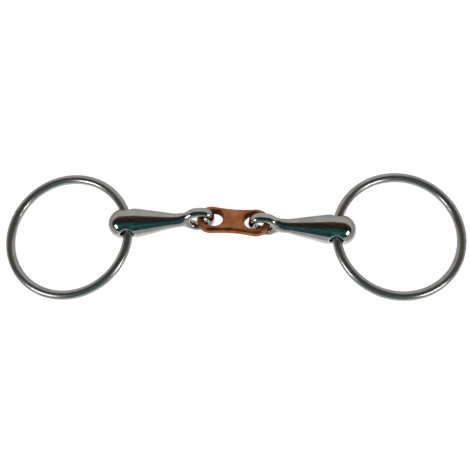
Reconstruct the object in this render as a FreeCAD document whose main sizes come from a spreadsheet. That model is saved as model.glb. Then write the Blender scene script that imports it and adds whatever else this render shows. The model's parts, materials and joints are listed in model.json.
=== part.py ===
import FreeCAD, Part
import math
import os
import Sketcher
from FreeCAD import Placement, Rotation, Vector

# Loose ring snaffle bit with a double-jointed mouthpiece, lying flat on a surface.
# Five separate pieces: two rings, two cannons (the tapered mouthpiece arms) and the copper link.
# Millimetres and degrees. +X runs along the mouthpiece from the left ring to the right ring,
# +Z is up from the surface, and the origin is on the surface under the middle of the whole bit.

SIZES = {
    # rings
    "ring_inner_diameter": 70.0,
    "ring_wire": 5.8,
    # cannons: distances run along the cannon from the axis of its ring bore
    "bulb_diameter": 18.5,
    "bulb_overhang": 11.5,
    "bulb_barrel": 4.0,
    "shoulder_radius": 36.0,
    "waist_radius": 20.0,
    "neck_diameter": 8.8,
    "neck_distance": 31.7,
    "bore_clearance": 3.2,
    "bore_mouth_radius": 1.5,
    # eyes at the inner ends of the cannons
    "eye_wire": 4.8,
    "eye_depth": 6.2,
    "eye_clearance": 1.7,
    "eye_inner_length": 9.6,
    "eye_root": 8.1,
    "eye_root_inset": 0.5,
    "left_eye_angle": 69.0,
    "right_eye_angle": 71.0,
    # copper link
    "link_length": 45.0,
    "link_thickness": 5.2,
    "link_end_bar": 4.0,
    "link_side_wall": 3.6,
    "link_hole_length": 11.9,
    "link_hole_width": 10.6,
    "link_waist_inset": 1.1,
    "link_edge_radius": 1.5,
    # how the pieces lie at rest
    "link_yaw": -3.2,
    "link_tilt": 13.0,
    "left_bar_slack": 1.9,
    "right_bar_slack": 4.6,
    "left_bar_offset": 0.1,
    "right_bar_offset": -0.6,
    "left_cannon_yaw": 5.4,
    "right_cannon_yaw": 4.0,
    "left_ring_yaw": 6.6,
    "right_ring_yaw": -1.3,
}

# Sizes that follow from what passes through them
FITTED = {
    "bore_diameter": "=ring_wire + bore_clearance",
    "eye_inner_width": "=link_thickness + eye_clearance",
}

doc = FreeCAD.newDocument("snaffle_bit")
sheet = doc.addObject("Spreadsheet::Sheet", "sizes")
for row, (alias, value) in enumerate([*SIZES.items(), *FITTED.items()], start=1):
    sheet.set("A%d" % row, alias)
    sheet.set("B%d" % row, str(value))
    sheet.setAlias("B%d" % row, alias)
doc.recompute()


def size(alias):
    return float(sheet.get(alias))


# Sketch helpers. A place in a sketch is a geometry number and a point number: 1 start, 2 end, 3 centre.

ORIGIN = (-1, 1)
X_AXIS = -1
Y_AXIS = -2


def new_sketch(body, name, role):
    sketch = body.newObject("Sketcher::SketchObject", name)
    for feature in body.Origin.OriginFeatures:
        if feature.Role == role:
            sketch.AttachmentSupport = [(feature, "")]
    sketch.MapMode = "FlatFace"
    return sketch


def relate(sketch, kind, *places):
    sketch.addConstraint(Sketcher.Constraint(kind, *places))


def drive(sketch, name, expression, kind, *places_and_value):
    index = sketch.addConstraint(Sketcher.Constraint(kind, *places_and_value))
    sketch.renameConstraint(index, name)
    sketch.setExpression("Constraints." + name, expression)


def arc(centre_x, centre_y, radius, start, end):
    circle = Part.Circle(Vector(centre_x, centre_y, 0), Vector(0, 0, 1), radius)
    return Part.ArcOfCircle(circle, math.radians(start), math.radians(end))


def line(x1, y1, x2, y2):
    return Part.LineSegment(Vector(x1, y1, 0), Vector(x2, y2, 0))


def add_slot(sketch, prefix, half_width, near, far):
    """A slot with round ends on the X axis. Each argument is a value and its expression."""
    radius, near_x, far_x = half_width[0], near[0], far[0]
    right = sketch.addGeometry(arc(far_x, 0, radius, -90, 90))
    top = sketch.addGeometry(line(far_x, radius, near_x, radius))
    left = sketch.addGeometry(arc(near_x, 0, radius, 90, 270))
    bottom = sketch.addGeometry(line(near_x, -radius, far_x, -radius))
    relate(sketch, "Tangent", right, 2, top, 1)
    relate(sketch, "Tangent", top, 2, left, 1)
    relate(sketch, "Tangent", left, 2, bottom, 1)
    relate(sketch, "Tangent", bottom, 2, right, 1)
    relate(sketch, "Equal", right, left)
    relate(sketch, "PointOnObject", right, 3, X_AXIS)
    relate(sketch, "PointOnObject", left, 3, X_AXIS)
    drive(sketch, prefix + "_half_width", half_width[1], "Radius", right, radius)
    drive(sketch, prefix + "_far", far[1], "DistanceX", *ORIGIN, right, 3, far_x)
    drive(sketch, prefix + "_near", near[1], "DistanceX", *ORIGIN, left, 3, near_x)


def fillet(body, base, name, expression, test):
    edges = []
    for number, edge in enumerate(base.Shape.Edges, start=1):
        if test(edge):
            edges.append("Edge%d" % number)
    if not edges:
        raise RuntimeError(name + " found no edges")
    feature = body.newObject("PartDesign::Fillet", name)
    feature.Base = (base, edges)
    feature.setExpression("Radius", expression)
    doc.recompute()
    return feature


# Rings

def make_ring(label):
    ring = doc.addObject("Part::Torus", label)
    ring.setExpression("Radius1", "(sizes.ring_inner_diameter + sizes.ring_wire) / 2")
    ring.setExpression("Radius2", "sizes.ring_wire / 2")
    return ring


# Copper link: a flat plate with two round lobes, a waist and an eye hole in each lobe

def sketch_link(body):
    sketch = new_sketch(body, "link_outline", "XY_Plane")
    lobe = size("link_hole_width") / 2 + size("link_side_wall")
    lobe_x = size("link_length") / 2 - lobe
    waist = lobe - size("link_waist_inset")
    waist_arc = (lobe_x**2 + waist**2 - lobe**2) / (2 * (lobe - waist))
    turn = math.degrees(math.atan2(lobe_x, waist + waist_arc))
    right = sketch.addGeometry(arc(lobe_x, 0, lobe, -90 - turn, 90 + turn))
    top = sketch.addGeometry(arc(0, waist + waist_arc, waist_arc, 270 - turn, 270 + turn))
    left = sketch.addGeometry(arc(-lobe_x, 0, lobe, 90 - turn, 270 + turn))
    bottom = sketch.addGeometry(arc(0, -waist - waist_arc, waist_arc, 90 - turn, 90 + turn))
    waist_point = sketch.addGeometry(Part.Point(Vector(0, waist, 0)), True)
    relate(sketch, "Tangent", right, 2, top, 2)
    relate(sketch, "Tangent", top, 1, left, 1)
    relate(sketch, "Tangent", left, 2, bottom, 2)
    relate(sketch, "Tangent", bottom, 1, right, 1)
    relate(sketch, "Equal", right, left)
    relate(sketch, "Equal", top, bottom)
    relate(sketch, "PointOnObject", right, 3, X_AXIS)
    relate(sketch, "Symmetric", right, 3, left, 3, *ORIGIN)
    relate(sketch, "PointOnObject", waist_point, 1, Y_AXIS)
    relate(sketch, "PointOnObject", waist_point, 1, top)
    lobe_expression = "sizes.link_hole_width / 2 + sizes.link_side_wall"
    waist_expression = lobe_expression + " - sizes.link_waist_inset"
    lobe_x_expression = "sizes.link_length / 2 - (" + lobe_expression + ")"
    drive(sketch, "lobe_radius", lobe_expression, "Radius", right, lobe)
    drive(sketch, "lobe_centre", lobe_x_expression, "DistanceX", *ORIGIN, right, 3, lobe_x)
    drive(sketch, "half_waist", waist_expression, "DistanceY", *ORIGIN, waist_point, 1, waist)
    hole = size("link_hole_width") / 2
    hole_far = size("link_length") / 2 - size("link_end_bar") - hole
    hole_near = hole_far - (size("link_hole_length") - 2 * hole)
    hole_width = "sizes.link_hole_width / 2"
    far = "sizes.link_length / 2 - sizes.link_end_bar - " + hole_width
    near = far + " - (sizes.link_hole_length - sizes.link_hole_width)"
    add_slot(sketch, "right_hole", (hole, hole_width), (hole_near, near), (hole_far, far))
    mirrored_far = (-hole_far, "-(" + far + ")")
    mirrored_near = (-hole_near, "-(" + near + ")")
    add_slot(sketch, "left_hole", (hole, hole_width), mirrored_far, mirrored_near)
    return sketch


def make_link(label):
    body = doc.addObject("PartDesign::Body", label)
    outline = sketch_link(body)
    plate = body.newObject("PartDesign::Pad", "link_plate")
    plate.Profile = outline
    plate.SideType = "Symmetric"
    plate.setExpression("Length", "sizes.link_thickness")
    doc.recompute()
    half = size("link_thickness") / 2

    def on_a_face(edge):
        return abs(abs(edge.CenterOfMass.z) - half) < 1e-6

    edge_radius = "min(sizes.link_edge_radius; 0.42 * sizes.link_side_wall)"
    fillet(body, plate, "link_edges", edge_radius, on_a_face)
    return body


# Cannons: modelled with the ring bore at the origin, the bore along Y and the eye on +X

def bulb_centre():
    return size("bulb_diameter") / 2 - size("bulb_overhang")


def sketch_cannon_profile(body):
    sketch = new_sketch(body, "cannon_profile", "XZ_Plane")
    bulb = size("bulb_diameter") / 2
    neck = size("neck_diameter") / 2
    neck_x = size("neck_distance")
    cap_x = bulb_centre()
    shoulder = size("shoulder_radius")
    waist = size("waist_radius")
    shoulder_x = cap_x + size("bulb_barrel")
    # the taper is the inner tangent of the shoulder and waist arcs
    run = neck_x - shoulder_x
    rise = neck + waist - bulb + shoulder
    reach = shoulder + waist
    slope = math.degrees(math.atan2(run, rise) - math.acos(min(1.0, reach / math.hypot(run, rise))))
    sine, cosine = math.sin(math.radians(slope)), math.cos(math.radians(slope))
    taper_start = (shoulder_x + shoulder * sine, bulb - shoulder + shoulder * cosine)
    taper_end = (neck_x - waist * sine, neck + waist - waist * cosine)
    cap = sketch.addGeometry(arc(cap_x, 0, bulb, 90, 180))
    barrel = sketch.addGeometry(line(cap_x, bulb, shoulder_x, bulb))
    bend = sketch.addGeometry(arc(shoulder_x, bulb - shoulder, shoulder, 90 - slope, 90))
    taper = sketch.addGeometry(line(*taper_start, *taper_end))
    hollow = sketch.addGeometry(arc(neck_x, neck + waist, waist, 270 - slope, 270))
    end = sketch.addGeometry(line(neck_x, neck, neck_x, 0))
    axis = sketch.addGeometry(line(neck_x, 0, cap_x - bulb, 0))
    relate(sketch, "Tangent", cap, 1, barrel, 1)
    relate(sketch, "Tangent", barrel, 2, bend, 2)
    relate(sketch, "Tangent", bend, 1, taper, 1)
    relate(sketch, "Tangent", taper, 2, hollow, 1)
    relate(sketch, "Coincident", hollow, 2, end, 1)
    relate(sketch, "Coincident", end, 2, axis, 1)
    relate(sketch, "Coincident", axis, 2, cap, 2)
    relate(sketch, "Horizontal", barrel)
    relate(sketch, "Vertical", end)
    relate(sketch, "Horizontal", axis)
    relate(sketch, "PointOnObject", axis, 1, X_AXIS)
    relate(sketch, "PointOnObject", cap, 3, X_AXIS)
    relate(sketch, "Vertical", hollow, 3, hollow, 2)
    drive(sketch, "bulb_radius", "sizes.bulb_diameter / 2", "Radius", cap, bulb)
    drive(sketch, "shoulder", "sizes.shoulder_radius", "Radius", bend, shoulder)
    drive(sketch, "waist", "sizes.waist_radius", "Radius", hollow, waist)
    drive(sketch, "barrel", "sizes.bulb_barrel", "DistanceX", barrel, 1, barrel, 2, size("bulb_barrel"))
    drive(sketch, "tip", "-sizes.bulb_overhang", "DistanceX", *ORIGIN, axis, 2, -size("bulb_overhang"))
    drive(sketch, "neck_x", "sizes.neck_distance", "DistanceX", *ORIGIN, end, 1, neck_x)
    drive(sketch, "neck_r", "sizes.neck_diameter / 2", "DistanceY", *ORIGIN, end, 1, neck)
    return sketch


def eye_centres():
    """The end centres of the eye's loop, the one by the neck first."""
    near = size("neck_distance") + size("eye_root") + size("eye_inner_width") / 2
    far = near + size("eye_inner_length") - size("eye_inner_width")
    return near, far


def sketch_eye(body, angle, angle_expression):
    sketch = new_sketch(body, "eye_outline", "XY_Plane")
    sketch.AttachmentOffset = Placement(Vector(), Rotation(Vector(1, 0, 0), angle))
    sketch.setExpression("AttachmentOffset.Rotation.Angle", angle_expression)
    near, far = eye_centres()
    inner = size("eye_inner_width") / 2
    outer = inner + size("eye_wire")
    neck_x = size("neck_distance")
    root = size("neck_diameter") / 2 - size("eye_root_inset")
    back = neck_x - size("neck_diameter") / 3
    # the flare arc leaves the neck in line with it and ends tangent to the loop
    flare = ((near - neck_x)**2 + root**2 - outer**2) / (2 * (outer - root))
    meet = 180 - math.degrees(math.atan2(root + flare, near - neck_x))
    tip = sketch.addGeometry(arc(far, 0, outer, -90, 90))
    top = sketch.addGeometry(line(far, outer, near, outer))
    top_shoulder = sketch.addGeometry(arc(near, 0, outer, 90, meet))
    top_flare = sketch.addGeometry(arc(neck_x, root + flare, flare, 270, meet + 180))
    top_root = sketch.addGeometry(line(neck_x, root, back, root))
    end = sketch.addGeometry(line(back, root, back, -root))
    low_root = sketch.addGeometry(line(back, -root, neck_x, -root))
    low_flare = sketch.addGeometry(arc(neck_x, -root - flare, flare, 180 - meet, 90))
    low_shoulder = sketch.addGeometry(arc(near, 0, outer, 360 - meet, 270))
    low = sketch.addGeometry(line(near, -outer, far, -outer))
    relate(sketch, "Tangent", tip, 2, top, 1)
    relate(sketch, "Tangent", top, 2, top_shoulder, 1)
    relate(sketch, "Tangent", top_shoulder, 2, top_flare, 2)
    relate(sketch, "Tangent", top_flare, 1, top_root, 1)
    relate(sketch, "Coincident", top_root, 2, end, 1)
    relate(sketch, "Coincident", end, 2, low_root, 1)
    relate(sketch, "Tangent", low_root, 2, low_flare, 2)
    relate(sketch, "Tangent", low_flare, 1, low_shoulder, 1)
    relate(sketch, "Tangent", low_shoulder, 2, low, 1)
    relate(sketch, "Tangent", low, 2, tip, 1)
    for flat in (top, top_root, low_root, low):
        relate(sketch, "Horizontal", flat)
    relate(sketch, "Vertical", end)
    relate(sketch, "PointOnObject", tip, 3, X_AXIS)
    relate(sketch, "Equal", tip, top_shoulder)
    relate(sketch, "Equal", tip, low_shoulder)
    relate(sketch, "Vertical", top_shoulder, 3, low_shoulder, 3)
    relate(sketch, "Symmetric", top_flare, 1, low_flare, 2, X_AXIS)
    inner_width = "sizes.eye_inner_width / 2"
    outer_width = inner_width + " + sizes.eye_wire"
    near_x = "sizes.neck_distance + sizes.eye_root + " + inner_width
    far_x = near_x + " + sizes.eye_inner_length - sizes.eye_inner_width"
    root_y = "sizes.neck_diameter / 2 - sizes.eye_root_inset"
    back_x = "sizes.neck_distance - sizes.neck_diameter / 3"
    drive(sketch, "outer_half_width", outer_width, "Radius", tip, outer)
    drive(sketch, "outer_far", far_x, "DistanceX", *ORIGIN, tip, 3, far)
    drive(sketch, "outer_near", near_x, "DistanceX", *ORIGIN, top_shoulder, 3, near)
    drive(sketch, "root_x", "sizes.neck_distance", "DistanceX", *ORIGIN, top_flare, 1, neck_x)
    drive(sketch, "root_y", root_y, "DistanceY", *ORIGIN, top_flare, 1, root)
    drive(sketch, "back_x", back_x, "DistanceX", *ORIGIN, end, 1, back)
    add_slot(sketch, "inner", (inner, inner_width), (near, near_x), (far, far_x))
    return sketch


# The web between the neck and the eye: how far along it each section stands, as a share of the eye's root
WEB_SECTIONS = (0.0, 0.3, 0.6, 0.9)
WEB_END_WIDTH = 0.72
WEB_END_THICKNESS = 0.92


def sketch_web(body, number, angle_expression):
    """One section across the web, a circle at the neck that widens and thins towards the eye."""
    share = WEB_SECTIONS[number]
    ease = (share / WEB_SECTIONS[-1])**2 * (3 - 2 * share / WEB_SECTIONS[-1])
    neck = size("neck_diameter") / 2
    end_width = WEB_END_WIDTH * (size("eye_inner_width") / 2 + size("eye_wire"))
    end_thickness = WEB_END_THICKNESS * size("eye_depth") / 2
    width = neck + ease * (end_width - neck)
    thickness = neck + ease * (end_thickness - neck)
    sketch = new_sketch(body, "web_section_%d" % number, "YZ_Plane")
    sketch.setExpression("AttachmentOffset.Base.z", "sizes.neck_distance + %s * sizes.eye_root" % share)
    sketch.setExpression("AttachmentOffset.Rotation.Angle", angle_expression)
    neck_r = "sizes.neck_diameter / 2"
    if number == 0:
        circle = sketch.addGeometry(Part.Circle(Vector(), Vector(0, 0, 1), neck))
        relate(sketch, "Coincident", circle, 3, *ORIGIN)
        drive(sketch, "radius", neck_r, "Radius", circle, neck)
        return sketch
    ellipse = Part.Ellipse(Vector(width, 0, 0), Vector(0, thickness, 0), Vector())
    oval = sketch.addGeometry(ellipse)
    sketch.exposeInternalGeometry(oval)
    across, through = oval + 1, oval + 2
    relate(sketch, "Coincident", oval, 3, *ORIGIN)
    relate(sketch, "Horizontal", across)
    end_w = "%s * (sizes.eye_inner_width / 2 + sizes.eye_wire)" % WEB_END_WIDTH
    end_t = "%s * sizes.eye_depth / 2" % WEB_END_THICKNESS
    full_width = "2 * (%s + %s * (%s - %s))" % (neck_r, ease, end_w, neck_r)
    full_thickness = "2 * (%s + %s * (%s - %s))" % (neck_r, ease, end_t, neck_r)
    drive(sketch, "width", full_width, "Distance", across, 2 * width)
    drive(sketch, "thickness", full_thickness, "Distance", through, 2 * thickness)
    return sketch


def make_cannon(label, angle, angle_expression):
    body = doc.addObject("PartDesign::Body", label)
    eye = body.newObject("PartDesign::Pad", "eye")
    eye.Profile = sketch_eye(body, angle, angle_expression)
    eye.SideType = "Symmetric"
    eye.setExpression("Length", "sizes.eye_depth")
    doc.recompute()
    across_eye = Vector(0, -math.sin(math.radians(angle)), math.cos(math.radians(angle)))
    eye_half = size("eye_depth") / 2
    eye_back = size("neck_distance") - size("neck_diameter") / 3

    def rounded(edge):
        middle = edge.CenterOfMass
        return abs(abs(middle.dot(across_eye)) - eye_half) < 1e-6 and middle.x > eye_back + 1e-6

    fillet(body, eye, "eye_round", "0.48 * sizes.eye_wire", rounded)
    sections = []
    for number in range(len(WEB_SECTIONS)):
        sections.append(sketch_web(body, number, angle_expression))
    doc.recompute()
    web = body.newObject("PartDesign::AdditiveLoft", "web")
    web.Profile = sections[0]
    web.Sections = sections[1:]
    doc.recompute()
    shaft = body.newObject("PartDesign::Revolution", "shaft")
    shaft.Profile = sketch_cannon_profile(body)
    shaft.ReferenceAxis = (shaft.Profile[0], ["H_Axis"])
    shaft.Angle = 360
    doc.recompute()
    bore_sketch = new_sketch(body, "bore_circle", "XZ_Plane")
    circle = bore_sketch.addGeometry(Part.Circle(Vector(), Vector(0, 0, 1), size("bore_diameter") / 2))
    relate(bore_sketch, "Coincident", circle, 3, *ORIGIN)
    drive(bore_sketch, "radius", "sizes.bore_diameter / 2", "Radius", circle, size("bore_diameter") / 2)
    bore = body.newObject("PartDesign::Pocket", "bore")
    bore.Profile = bore_sketch
    bore.Type = "ThroughAll"
    bore.SideType = "Symmetric"
    solid_volume = shaft.Shape.Volume
    doc.recompute()
    if bore.Shape.Volume > solid_volume - size("bore_diameter")**2 * size("bulb_diameter") / 2:
        raise RuntimeError(label + ": the bore cut too little")
    bore_radius = size("bore_diameter") / 2

    def bore_mouth(edge):
        for vertex in edge.Vertexes:
            if abs(math.hypot(vertex.X, vertex.Z) - bore_radius) > 1e-4 or abs(vertex.Y) < 1:
                return False
        middle = edge.valueAt((edge.FirstParameter + edge.LastParameter) / 2)
        return abs(math.hypot(middle.x, middle.z) - bore_radius) < 1e-3 and abs(middle.y) > 1

    fillet(body, bore, "bore_mouths", "sizes.bore_mouth_radius", bore_mouth)
    return body


# Where each piece lies at rest. The bulbs, the eyes and the far edges of the rings touch the surface.

UP = Vector(0, 0, 1)


def frame(origin, x_axis, y_axis):
    return Placement(origin, Rotation(x_axis, y_axis, x_axis.cross(y_axis), "XYZ"))


def bar_centre_x():
    return size("link_length") / 2 - size("link_end_bar") / 2


class Side:
    """One side of the bit: sign is -1 for the left and 1 for the right."""

    def __init__(self, name, sign):
        self.name = name
        self.sign = sign
        near, far = eye_centres()
        eye_half = (size("eye_inner_width") + size("eye_wire")) / 2
        eye_angle = math.radians(size(name + "_eye_angle"))
        eye_side = (size("eye_depth") - size("eye_wire")) / 2
        eye_height = size("eye_wire") / 2 + eye_half * math.sin(eye_angle) + eye_side * math.cos(eye_angle)
        # the cannon slopes down from its bulb, which touches the surface on its shoulder arc
        shoulder = size("shoulder_radius")
        shoulder_x = bulb_centre() + size("bulb_barrel")
        bulb = size("bulb_diameter") / 2
        bore_height = bulb
        for _ in range(10):
            self.pitch = math.asin((bore_height - eye_height) / far)
            bore_height = shoulder + shoulder_x * math.sin(self.pitch) - (shoulder - bulb) * math.cos(self.pitch)
        eye_end = far + size("eye_inner_width") / 2
        self.seat = eye_end - size(name + "_bar_slack") - size("link_end_bar") / 2
        self.seat_height = bore_height - self.seat * math.sin(self.pitch)
        self.offset = size(name + "_bar_offset")

    def bar_height(self, fall):
        """Height of the middle of the link's end bar, which falls by fall for each unit towards +Y."""
        return self.seat_height + self.offset * fall

    def place(self, link_placement):
        """Works out where the cannon and the ring lie around the placed link."""
        bar = link_placement.multVec(Vector(self.sign * bar_centre_x(), 0, 0))
        self.bar_axis = link_placement.Rotation.multVec(Vector(0, 1, 0))
        self.bar = bar
        yaw = math.radians(size(self.name + "_cannon_yaw"))
        level = math.cos(self.pitch)
        inward = Vector(-self.sign * math.cos(yaw) * level, math.sin(yaw) * level, -math.sin(self.pitch))
        self.bore_axis = Vector(self.sign * math.sin(yaw), math.cos(yaw), 0)
        self.bore = bar + self.bar_axis * self.offset - inward * self.seat
        self.cannon_placement = frame(self.bore, inward, self.bore_axis * -self.sign)
        self.ring_placement = self.place_ring(yaw + math.radians(size(self.name + "_ring_yaw")))

    def place_ring(self, yaw):
        radius = (size("ring_inner_diameter") + size("ring_wire")) / 2
        # the curved wire sits centrally in the straight bore, half of its bow to each side
        bow = (size("bulb_diameter") / 2 - size("bore_mouth_radius"))**2 / (2 * radius)
        reach = radius - bow / 2
        tilt = math.asin((self.bore.z - size("ring_wire") / 2) / (reach + radius))
        outward = Vector(self.sign * math.cos(yaw) * math.cos(tilt), -math.sin(yaw) * math.cos(tilt), -math.sin(tilt))
        tangent = Vector(self.sign * math.sin(yaw), math.cos(yaw), 0)
        return frame(self.bore + outward * reach, outward, tangent)


left = Side("left", -1)
right = Side("right", 1)
tilt = math.radians(size("link_tilt"))
left_bar_height = left.bar_height(math.sin(tilt))
right_bar_height = right.bar_height(math.sin(tilt))
link_pitch = math.degrees(math.asin((left_bar_height - right_bar_height) / (2 * bar_centre_x())))
link_rotation = Rotation(size("link_yaw"), link_pitch, -size("link_tilt"))
link_placement = Placement(Vector(0, 0, (left_bar_height + right_bar_height) / 2), link_rotation)

french_link = make_link("french_link")
french_link.Placement = link_placement
pieces = [french_link]
for side in (left, right):
    side.place(link_placement)
    angle = -side.sign * size(side.name + "_eye_angle")
    cannon = make_cannon(side.name + "_cannon", angle, "%d deg * sizes.%s_eye_angle" % (-side.sign, side.name))
    cannon.Placement = side.cannon_placement
    ring = make_ring(side.name + "_ring")
    ring.Placement = side.ring_placement
    pieces += [cannon, ring]
doc.recompute()

# Bring the origin under the middle of the whole bit

whole = FreeCAD.BoundBox()
for piece in pieces:
    whole.add(piece.Shape.optimalBoundingBox(False))
shift = Vector(-whole.Center.x, -whole.Center.y, -whole.ZMin)
for piece in pieces:
    placement = piece.Placement
    placement.Base = placement.Base + shift
    piece.Placement = placement
doc.recompute()

for item in doc.Objects:
    if "Invalid" in item.State or "Error" in item.State:
        raise RuntimeError(item.Name + " failed to build")
for piece in pieces:
    if piece.Shape.isNull() or not piece.Shape.isValid() or len(piece.Shape.Solids) != 1:
        raise RuntimeError(piece.Label + " is not one valid solid")

os.makedirs("parts", exist_ok=True)
for piece in pieces:
    piece.Shape.exportStep("parts/%s.step" % piece.Label)


def numbers(vector):
    return "(%.4f, %.4f, %.4f)" % (vector.x, vector.y, vector.z)


for side in (left, right):
    print(side.name, "bar", numbers(side.bar + shift), "axis", numbers(side.bar_axis))
    print(side.name, "bore", numbers(side.bore + shift), "axis", numbers(side.bore_axis))
print("link", numbers(french_link.Placement.Base), "face normal", numbers(link_rotation.multVec(UP)))
print("size %.2f x %.2f x %.2f" % (whole.XLength, whole.YLength, whole.ZLength))
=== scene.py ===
import json
import math

import bmesh
import bpy
from mathutils import Matrix, Vector


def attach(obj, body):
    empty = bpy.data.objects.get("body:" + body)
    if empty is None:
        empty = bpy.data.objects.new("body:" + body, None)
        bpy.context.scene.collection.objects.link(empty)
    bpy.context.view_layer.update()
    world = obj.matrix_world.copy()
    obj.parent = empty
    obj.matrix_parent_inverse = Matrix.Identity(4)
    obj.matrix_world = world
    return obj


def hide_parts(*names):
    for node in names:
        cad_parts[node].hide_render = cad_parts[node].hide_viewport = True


# Loose ring snaffle bit: polished steel rings and cannons, and a copper link between them.
# Metres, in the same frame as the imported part.

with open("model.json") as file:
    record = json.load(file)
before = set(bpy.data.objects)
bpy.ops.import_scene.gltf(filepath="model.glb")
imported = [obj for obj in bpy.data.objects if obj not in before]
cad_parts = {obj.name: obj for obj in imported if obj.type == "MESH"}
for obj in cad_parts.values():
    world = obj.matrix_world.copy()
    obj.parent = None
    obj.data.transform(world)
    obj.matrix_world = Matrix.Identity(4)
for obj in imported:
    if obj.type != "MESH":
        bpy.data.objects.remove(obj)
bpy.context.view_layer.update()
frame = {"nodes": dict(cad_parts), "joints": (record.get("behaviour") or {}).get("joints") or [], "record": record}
record = frame["record"]
mounts = {m["name"]: m for m in record["mounts"]}

MM = 0.001
RING_INNER = 70.0 * MM
RING_WIRE = 5.8 * MM
LINK_HALF_THICKNESS = 2.6 * MM
LINK_HOLE_CENTRE = 12.55 * MM
LINK_HOLE_HALF_LENGTH = 5.95 * MM
LINK_HOLE_HALF_WIDTH = 5.3 * MM

joints = {j["name"]: j for j in frame["joints"]}
left_bar = Vector(joints["left_cannon_fold"]["pos_m"])
right_bar = Vector(joints["right_cannon_fold"]["pos_m"])
LINK_MIDDLE = (left_bar + right_bar) / 2
LINK_ALONG = (right_bar - left_bar).normalized()
LINK_ACROSS = Vector(joints["left_cannon_fold"]["axis"]).normalized()
LINK_UP = LINK_ALONG.cross(LINK_ACROSS)


# ---------------------------------------------------------------- node helpers

def add(tree, kind, x=0, y=0, **values):
    node = tree.nodes.new(kind)
    node.location = (x, y)
    for name, value in values.items():
        setattr(node, name, value)
    return node


def put(node, **inputs):
    for name, value in inputs.items():
        node.inputs[name.replace("_", " ")].default_value = value
    return node


def ramp(tree, stops, interpolation="LINEAR", **where):
    node = add(tree, "ShaderNodeValToRGB", **where)
    bar = node.color_ramp
    bar.interpolation = interpolation
    while len(bar.elements) < len(stops):
        bar.elements.new(0.5)
    for element, (place, colour) in zip(bar.elements, stops):
        element.position = place
        if isinstance(colour, (int, float)):
            colour = (colour, colour, colour)
        element.color = (*colour, 1.0)
    return node


def new_group(name, outputs, inputs=()):
    tree = bpy.data.node_groups.new(name, "ShaderNodeTree")
    for label, kind, default in inputs:
        socket = tree.interface.new_socket(label, in_out="INPUT", socket_type=kind)
        socket.default_value = default
    for label, kind in outputs:
        tree.interface.new_socket(label, in_out="OUTPUT", socket_type=kind)
    return tree, add(tree, "NodeGroupInput", -1200, 0), add(tree, "NodeGroupOutput", 900, 0)


def use_group(tree, group, x, y, **inputs):
    node = add(tree, "ShaderNodeGroup", x, y)
    node.node_tree = group
    return put(node, **inputs)


def new_material(name, attribute=None):
    material = bpy.data.materials.new(name)
    material.use_nodes = True
    tree = material.node_tree
    shader = tree.nodes["Principled BSDF"]
    shader.location = (700, 0)
    tree.nodes["Material Output"].location = (1000, 0)
    if attribute:
        place = add(tree, "ShaderNodeAttribute", -1500, 0, attribute_type="GEOMETRY", attribute_name=attribute)
        return material, tree, shader, place.outputs["Vector"]
    place = add(tree, "ShaderNodeTexCoord", -1500, 0)
    return material, tree, shader, place.outputs["Object"]


# ---------------------------------------------------------------- shared surface effects

def make_hairlines():
    """Fine polishing lines and a soft waviness, with clouding in the shine."""
    tree, inside, outside = new_group(
        "hairlines",
        [("Lines", "NodeSocketFloat"), ("Cloud", "NodeSocketFloat"), ("Height", "NodeSocketFloat")],
        [("Place", "NodeSocketVector", (0, 0, 0)), ("Fineness", "NodeSocketFloat", 900.0)],
    )
    link = tree.links.new
    warp = put(add(tree, "ShaderNodeTexNoise", -1000, -250), Scale=40.0, Detail=2.0)
    link(inside.outputs["Place"], warp.inputs["Vector"])
    bend = add(tree, "ShaderNodeVectorMath", -800, -120, operation="MULTIPLY_ADD")
    bend.inputs[1].default_value = (1.6 * MM, 1.6 * MM, 1.6 * MM)
    link(warp.outputs["Color"], bend.inputs[0])
    link(inside.outputs["Place"], bend.inputs[2])
    stretch = add(tree, "ShaderNodeMapping", -600, -60)
    stretch.inputs["Scale"].default_value = (0.06, 1.0, 1.0)
    link(bend.outputs[0], stretch.inputs["Vector"])
    lines = put(add(tree, "ShaderNodeTexNoise", -400, -60), Detail=3.0, Roughness=0.7)
    link(stretch.outputs[0], lines.inputs["Vector"])
    link(inside.outputs["Fineness"], lines.inputs["Scale"])
    marks = ramp(tree, [(0.55, 0.0), (0.78, 1.0)], x=-150, y=-60)
    link(lines.outputs["Fac"], marks.inputs["Fac"])
    cloud = put(add(tree, "ShaderNodeTexNoise", -400, 250), Scale=110.0, Detail=4.0, Roughness=0.6)
    link(inside.outputs["Place"], cloud.inputs["Vector"])
    soft = ramp(tree, [(0.35, 0.0), (0.72, 1.0)], "EASE", x=-150, y=250)
    link(cloud.outputs["Fac"], soft.inputs["Fac"])
    height = add(tree, "ShaderNodeMath", 200, -200, operation="MULTIPLY_ADD")
    height.inputs[1].default_value = 0.35
    link(marks.outputs["Color"], height.inputs[0])
    wave = put(add(tree, "ShaderNodeTexNoise", -150, -400), Scale=160.0, Detail=1.0)
    link(inside.outputs["Place"], wave.inputs["Vector"])
    link(wave.outputs["Fac"], height.inputs[2])
    link(marks.outputs["Color"], outside.inputs["Lines"])
    link(soft.outputs["Color"], outside.inputs["Cloud"])
    link(height.outputs[0], outside.inputs["Height"])
    return tree


HAIRLINES = make_hairlines()


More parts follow.
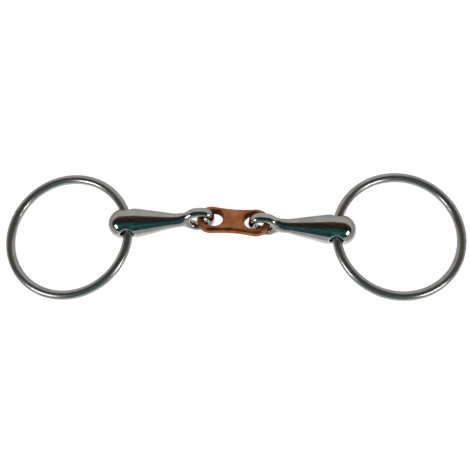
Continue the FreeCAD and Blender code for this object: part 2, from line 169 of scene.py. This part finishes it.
def steel(name, attribute, bright, dull, fineness, rough, wave, metallic):
    """Polished stainless steel with faint wiping marks; attribute holds each point's place, or None for the frame's."""
    material, tree, shader, place = new_material(name, attribute)
    link = tree.links.new
    effect = use_group(tree, HAIRLINES, -700, 0, Fineness=fineness)
    link(place, effect.inputs["Place"])
    colour = add(tree, "ShaderNodeMix", -200, 200, data_type="RGBA")
    colour.inputs[6].default_value = (*bright, 1)
    colour.inputs[7].default_value = (*dull, 1)
    link(effect.outputs["Cloud"], colour.inputs[0])
    link(colour.outputs[2], shader.inputs["Base Color"])
    spread = add(tree, "ShaderNodeMapRange", -200, -50)
    spread.inputs["To Min"].default_value = rough[0]
    spread.inputs["To Max"].default_value = rough[1]
    both = add(tree, "ShaderNodeMath", -420, -50, operation="MULTIPLY_ADD")
    both.inputs[1].default_value = 0.6
    link(effect.outputs["Lines"], both.inputs[0])
    link(effect.outputs["Cloud"], both.inputs[2])
    link(both.outputs[0], spread.inputs["Value"])
    link(spread.outputs[0], shader.inputs["Roughness"])
    bump = put(add(tree, "ShaderNodeBump", 300, -300), Strength=0.35, Distance=wave)
    link(effect.outputs["Height"], bump.inputs["Height"])
    link(bump.outputs[0], shader.inputs["Normal"])
    shader.inputs["Metallic"].default_value = metallic
    shader.inputs["Specular Tint"].default_value = (0.85, 0.85, 0.86, 1)
    return material


def copper():
    """Satin copper, made darker brown by painted shade in the eye holes and along the side faces."""
    material, tree, shader, place = new_material("satin copper", "link_place")
    link = tree.links.new
    effect = use_group(tree, HAIRLINES, -1000, 100, Fineness=1300.0)
    link(place, effect.inputs["Place"])
    blotch = put(add(tree, "ShaderNodeTexNoise", -1000, 420), Scale=230.0, Detail=6.0, Roughness=0.62)
    link(place, blotch.inputs["Vector"])
    tone = ramp(tree, [(0.28, (0.36, 0.10, 0.034)), (0.46, (0.61, 0.205, 0.080)),
                       (0.60, (0.79, 0.315, 0.137)), (0.78, (0.95, 0.52, 0.29))], x=-750, y=420)
    link(blotch.outputs["Fac"], tone.inputs["Fac"])
    # painted shade: mixes the copper towards dark brown in the eye holes and along the side faces
    shade_amount = add(tree, "ShaderNodeAttribute", -1000, -250, attribute_type="GEOMETRY", attribute_name="painted_shade")
    painted_shade_mix = add(tree, "ShaderNodeMix", -300, 300, data_type="RGBA")
    painted_shade_mix.inputs[7].default_value = (0.045, 0.014, 0.008, 1)
    link(shade_amount.outputs["Fac"], painted_shade_mix.inputs[0])
    link(tone.outputs["Color"], painted_shade_mix.inputs[6])
    link(painted_shade_mix.outputs[2], shader.inputs["Base Color"])
    spread = add(tree, "ShaderNodeMapRange", -300, -50)
    spread.inputs["To Min"].default_value = 0.24
    spread.inputs["To Max"].default_value = 0.46
    link(effect.outputs["Cloud"], spread.inputs["Value"])
    link(spread.outputs[0], shader.inputs["Roughness"])
    bump = put(add(tree, "ShaderNodeBump", 300, -300), Strength=0.4, Distance=0.08 * MM)
    link(effect.outputs["Height"], bump.inputs["Height"])
    link(bump.outputs[0], shader.inputs["Normal"])
    shader.inputs["Metallic"].default_value = 0.75
    shader.inputs["Specular IOR Level"].default_value = 0.25
    shader.inputs["Specular Tint"].default_value = (0.55, 0.36, 0.26, 1)
    return material


# the rings are hazier than the cannons, whose wiping marks are broader
ring_steel = steel("polished ring steel", "wire_place", bright=(0.53, 0.52, 0.505), dull=(0.43, 0.42, 0.405),
                   fineness=1500.0, rough=(0.21, 0.32), wave=0.003 * MM, metallic=0.86)
cannon_steel = steel("polished cannon steel", None, bright=(0.54, 0.53, 0.51), dull=(0.45, 0.44, 0.42),
                     fineness=1100.0, rough=(0.05, 0.17), wave=0.03 * MM, metallic=1.0)
link_copper = copper()


def dress(obj, material):
    obj.data.materials.clear()
    obj.data.materials.append(material)


# ---------------------------------------------------------------- rings with a weld

RING_STEPS = 720
WIRE_STEPS = 32
WELD_HALF_LENGTH = 2.6 * MM
WELD_SWELL = 0.10 * MM
WELD_RIDGE = 0.07 * MM
WELD_RIDGE_SPACING = 0.62 * MM
WELD_RIDGE_SLANT = 1.1


def weld_swell(along, around):
    """How far the wire swells at the weld, in metres, at a distance along it and an angle around it."""
    share = abs(along) / WELD_HALF_LENGTH
    if share >= 1:
        return 0.0
    fade = (1 - share * share) ** 2
    ridges = math.cos(along / WELD_RIDGE_SPACING * math.pi + WELD_RIDGE_SLANT * math.sin(around))
    return fade * (WELD_SWELL + WELD_RIDGE * ridges)


def make_ring(name, mount, weld_angle, bore_angle, body, node):
    """A ring of round wire, spun about its own axis, with a swollen weld; then set in its place on the bit."""
    centre, normal = Vector(mount["pos_m"]), Vector(mount["axis"]).normalized()
    first = (Vector((1, 0, 0)) - normal * normal.x).normalized()
    second = normal.cross(first)
    radius = (RING_INNER + RING_WIRE) / 2
    bm = bmesh.new()
    section = Matrix.Translation((radius, 0, 0)) @ Matrix.Rotation(math.pi / 2, 4, "X")
    bmesh.ops.create_circle(bm, segments=WIRE_STEPS, radius=RING_WIRE / 2, matrix=section)
    bmesh.ops.spin(bm, geom=bm.verts[:] + bm.edges[:], cent=(0, 0, 0), axis=(0, 0, 1), angle=2 * math.pi,
                   steps=RING_STEPS, use_merge=True)
    places = []
    for vertex in bm.verts:
        angle = math.atan2(vertex.co.y, vertex.co.x)
        around = math.atan2(vertex.co.z, math.hypot(vertex.co.x, vertex.co.y) - radius)
        off = (angle - weld_angle + math.pi) % (2 * math.pi) - math.pi
        wire = RING_WIRE / 2 + weld_swell(off * radius, around)
        across, rise = wire * math.cos(around), wire * math.sin(around)
        vertex.co = ((radius + across) * math.cos(angle), (radius + across) * math.sin(angle), rise)
        # the break in the run around the ring is inside the cannon
        places += ((angle - bore_angle) % (2 * math.pi) * radius, across, rise)
    stand = Matrix((first, second, normal)).transposed().to_4x4()
    bmesh.ops.transform(bm, matrix=Matrix.Translation(centre) @ stand, verts=bm.verts)
    bmesh.ops.recalc_face_normals(bm, faces=bm.faces[:])
    for face in bm.faces:
        face.smooth = True
    mesh = bpy.data.meshes.new(name)
    bm.to_mesh(mesh)
    bm.free()
    mesh.attributes.new("wire_place", "FLOAT_VECTOR", "POINT").data.foreach_set("vector", places)
    ring = bpy.data.objects.new(name, mesh)
    bpy.context.scene.collection.objects.link(ring)
    dress(ring, ring_steel)
    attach(ring, body)
    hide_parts(node)


# each ring's weld is at its own place, and its bore is on the side towards the link
LEFT_WELD, RIGHT_WELD = math.radians(154), math.radians(32)
LEFT_BORE, RIGHT_BORE = 0.0, math.pi
make_ring("left_ring_wire", mounts["left_rein_ring"], LEFT_WELD, LEFT_BORE, "left_ring", "left_ring")
make_ring("right_ring_wire", mounts["right_rein_ring"], RIGHT_WELD, RIGHT_BORE, "right_ring", "right_ring")


# ---------------------------------------------------------------- cannons and link

for name in ("left_cannon", "right_cannon"):
    dress(frame["nodes"][name], cannon_steel)


# painted shade, against the depth in millimetres below the link's faces
HOLE_EDGE_REACH = 1.32
HOLE_SHADE, HOLE_SHADE_GAIN = 0.15, 0.75
RIM_SHADE, RIM_LINE = 0.28, 0.60
RIM_LINE_DEPTH, RIM_LINE_WIDTH = 0.8, 0.5


def mark_painted_shade(obj):
    """Stores each point's place in the link and its painted shade: heavy in the eye holes, less on the rim, with a dark
    painted line along the side.
    """
    painted_shade = obj.data.attributes.new("painted_shade", "FLOAT", "POINT")
    place = obj.data.attributes.new("link_place", "FLOAT_VECTOR", "POINT")
    for number, vertex in enumerate(obj.data.vertices):
        from_middle = vertex.co - LINK_MIDDLE
        along, across, up = from_middle.dot(LINK_ALONG), from_middle.dot(LINK_ACROSS), from_middle.dot(LINK_UP)
        place.data[number].vector = (along, across, up)
        depth = max(0.0, LINK_HALF_THICKNESS - abs(up)) / MM
        reach = math.hypot((abs(along) - LINK_HOLE_CENTRE) / LINK_HOLE_HALF_LENGTH, across / LINK_HOLE_HALF_WIDTH)
        # painted shade in the eye holes, darker further in
        if reach < HOLE_EDGE_REACH:
            amount = min(1.0, HOLE_SHADE + HOLE_SHADE_GAIN * depth)
        else:
            # painted shade on the side faces, with a dark painted line along them
            from_line = (depth - RIM_LINE_DEPTH) / RIM_LINE_WIDTH
            amount = RIM_SHADE * min(1.0, depth) + RIM_LINE * math.exp(-from_line ** 2)
        painted_shade.data[number].value = amount


link_piece = frame["nodes"]["french_link"]
mark_painted_shade(link_piece)
dress(link_piece, link_copper)


# ---------------------------------------------------------------- studio

def matt_material(name, roughness):
    """A material with no gloss of its own, for the studio."""
    material = bpy.data.materials.new(name)
    material.use_nodes = True
    shader = material.node_tree.nodes["Principled BSDF"]
    shader.inputs["Roughness"].default_value = roughness
    shader.inputs["Specular IOR Level"].default_value = 0.0
    return material, material.node_tree, shader


def stage_sheet(name, bm, material):
    mesh = bpy.data.meshes.new(name)
    bm.to_mesh(mesh)
    bm.free()
    mesh.materials.append(material)
    obj = bpy.data.objects.new(name, mesh)
    bpy.context.scene.collection.objects.link(obj)
    return obj


FLOOR_HALF_SIZE = 3.0


def light_table():
    """A pale table lit from below, brighter seen from above than along it."""
    material, tree, shader = matt_material("white table", 0.9)
    shader.inputs["Base Color"].default_value = (0.50, 0.495, 0.485, 1)
    facing = put(add(tree, "ShaderNodeLayerWeight", -600, -300), Blend=0.5)
    glow = add(tree, "ShaderNodeMapRange", -300, -300, interpolation_type="SMOOTHSTEP")
    put(glow, From_Min=0.24, From_Max=0.55, To_Min=0.98, To_Max=0.32)
    tree.links.new(facing.outputs["Facing"], glow.inputs["Value"])
    shader.inputs["Emission Color"].default_value = (1, 1, 1, 1)
    tree.links.new(glow.outputs[0], shader.inputs["Emission Strength"])
    return material


def make_floor():
    bm = bmesh.new()
    bmesh.ops.create_grid(bm, x_segments=1, y_segments=1, size=FLOOR_HALF_SIZE)
    stage_sheet("floor", bm, light_table())


make_floor()


# The tent's half width, its height, and where its middle stands; its edges' angles up from the table
TENT_REACH, TENT_HEIGHT, TENT_MIDDLE = 1.1, 0.85, -0.05
TENT_FRONT, TENT_BACK, TENT_SIDES = math.radians(9), math.radians(57), math.radians(8)
TENT_STEPS = 40


def canopy_cloth():
    """Dark cloth in folds, from teal at the front, by way of black, to brown at the back."""
    material, tree, shader = matt_material("canopy cloth", 1.0)
    link = tree.links.new
    turn = add(tree, "ShaderNodeAttribute", -1200, 0, attribute_type="GEOMETRY", attribute_name="turn")
    place = add(tree, "ShaderNodeTexCoord", -1200, -250)
    noise = put(add(tree, "ShaderNodeTexNoise", -1000, -250), Scale=3.0, Detail=3.0)
    link(place.outputs["Object"], noise.inputs["Vector"])
    mixed = add(tree, "ShaderNodeMath", -500, 0, operation="MULTIPLY_ADD")
    mixed.inputs[1].default_value = 0.10
    link(noise.outputs["Fac"], mixed.inputs[0])
    link(turn.outputs["Fac"], mixed.inputs[2])
    tone = ramp(tree, [(0.0, (0.30, 0.30, 0.29)), (0.07, (0.02, 0.03, 0.03)), (0.16, (0.028, 0.105, 0.105)),
                       (0.50, (0.035, 0.15, 0.155)), (0.66, (0.025, 0.055, 0.056)), (0.75, (0.026, 0.022, 0.019)),
                       (0.83, (0.052, 0.030, 0.024)), (0.93, (0.062, 0.040, 0.032)), (1.0, (0.10, 0.085, 0.075))],
                x=-250, y=0)
    link(mixed.outputs[0], tone.inputs["Fac"])
    folds = put(add(tree, "ShaderNodeTexNoise", -1000, -550), Scale=4.5, Detail=3.0, Distortion=1.2)
    link(place.outputs["Object"], folds.inputs["Vector"])
    shade = ramp(tree, [(0.32, 0.45), (0.50, 0.95), (0.66, 1.9)], x=-500, y=-450)
    link(folds.outputs["Fac"], shade.inputs["Fac"])
    cloth = add(tree, "ShaderNodeMix", 100, 0, data_type="RGBA", blend_type="MULTIPLY")
    cloth.inputs[0].default_value = 1.0
    link(tone.outputs["Color"], cloth.inputs[6])
    link(shade.outputs["Color"], cloth.inputs[7])
    link(cloth.outputs[2], shader.inputs["Base Color"])
    return material


def make_canopy():
    """A dark tent over the bit, open low at the back, for the polished metal to reflect."""
    bm = bmesh.new()
    bmesh.ops.create_grid(bm, x_segments=TENT_STEPS, y_segments=TENT_STEPS, size=1.0)
    turns = []
    for vertex in bm.verts:
        # the tent sweeps from low at the front, over the top, to the opening at the back
        share = (vertex.co.y + 1) / 2
        rise = TENT_FRONT + share * (math.pi - TENT_BACK - TENT_FRONT)
        side = (math.pi / 2 - TENT_SIDES) * vertex.co.x
        vertex.co = (TENT_REACH * math.sin(side), TENT_MIDDLE - TENT_REACH * math.cos(rise) * math.cos(side),
                     TENT_HEIGHT * math.sin(rise) * math.cos(side))
        turns.append(share)
    tent = stage_sheet("canopy", bm, canopy_cloth())
    tent.data.attributes.new("turn", "FLOAT", "POINT").data.foreach_set("value", turns)


make_canopy()


BOX_WIDTH, BOX_HEIGHT, BOX_POWER = 0.24, 0.18, 1.0


def soft_box(name, place, aim):
    data = bpy.data.lights.new(name, "AREA")
    data.shape = "RECTANGLE"
    data.size, data.size_y = BOX_WIDTH, BOX_HEIGHT
    data.energy = BOX_POWER
    obj = bpy.data.objects.new(name, data)
    obj.location = place
    obj.rotation_euler = (Vector(aim) - Vector(place)).to_track_quat("-Z", "Y").to_euler()
    bpy.context.scene.collection.objects.link(obj)


soft_box("left soft box", (-0.50, -0.34, 0.31), (-0.03, 0, 0))
soft_box("right soft box", (0.53, -0.33, 0.27), (0.03, 0, 0))

world = bpy.data.worlds.new("studio")
bpy.context.scene.world = world
world.use_nodes = True
world.node_tree.nodes["Background"].inputs["Color"].default_value = (0.95, 0.92, 0.87, 1)
world.node_tree.nodes["Background"].inputs["Strength"].default_value = 0.62

scene = bpy.context.scene
scene.view_settings.view_transform = "Standard"
scene.view_settings.look = "None"

# ---------------------------------------------------------------- camera

camera_data = bpy.data.cameras.new("camera")
camera_data.sensor_width = 36.0
camera_data.lens = 60.6
camera_data.clip_start = 0.01
camera_data.clip_end = 20.0
camera = bpy.data.objects.new("camera", camera_data)
scene.collection.objects.link(camera)
scene.camera = camera
EYE = Vector((0.0380, -0.1621, 0.4616))
AIM = Vector((0.0019, 0.0009, 0.0050))
ROLL = math.radians(-10.7)
turn = (AIM - EYE).to_track_quat("-Z", "Y").to_matrix()
camera.matrix_world = Matrix.Translation(EYE) @ (turn @ Matrix.Rotation(ROLL, 3, "Z")).to_4x4()
